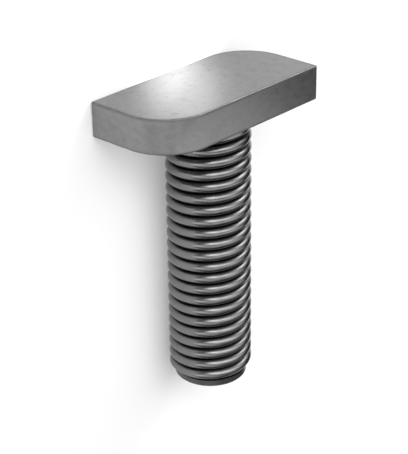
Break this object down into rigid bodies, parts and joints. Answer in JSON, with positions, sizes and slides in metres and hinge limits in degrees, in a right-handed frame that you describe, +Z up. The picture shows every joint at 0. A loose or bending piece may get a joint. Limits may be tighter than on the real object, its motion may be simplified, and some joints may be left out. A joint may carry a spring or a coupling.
{
  "type": "t slot bolt",
  "caption": "T slot bolt: a flat oblong head with opposite corners rounded for a quarter turn, on a fully threaded shank with a short plain tip.",
  "frame": {"origin": "under the middle of the bolt as it lies on its side: centre of its box, on the surface it rests on", "axes": "+Y along the bolt towards its head, +X along the head's long side, +Z up; the axis of the shank dips 1.5 degrees towards the tip"},
  "size_m": [0.03, 0.0452, 0.0141],
  "materials": {
    "bolt_steel": "satin bare steel, with a finely brushed head and a bright rolled thread"
  },
  "bodies": {
    "root": {"t_slot_bolt": "bolt_steel"}
  },
  "joints": []
}
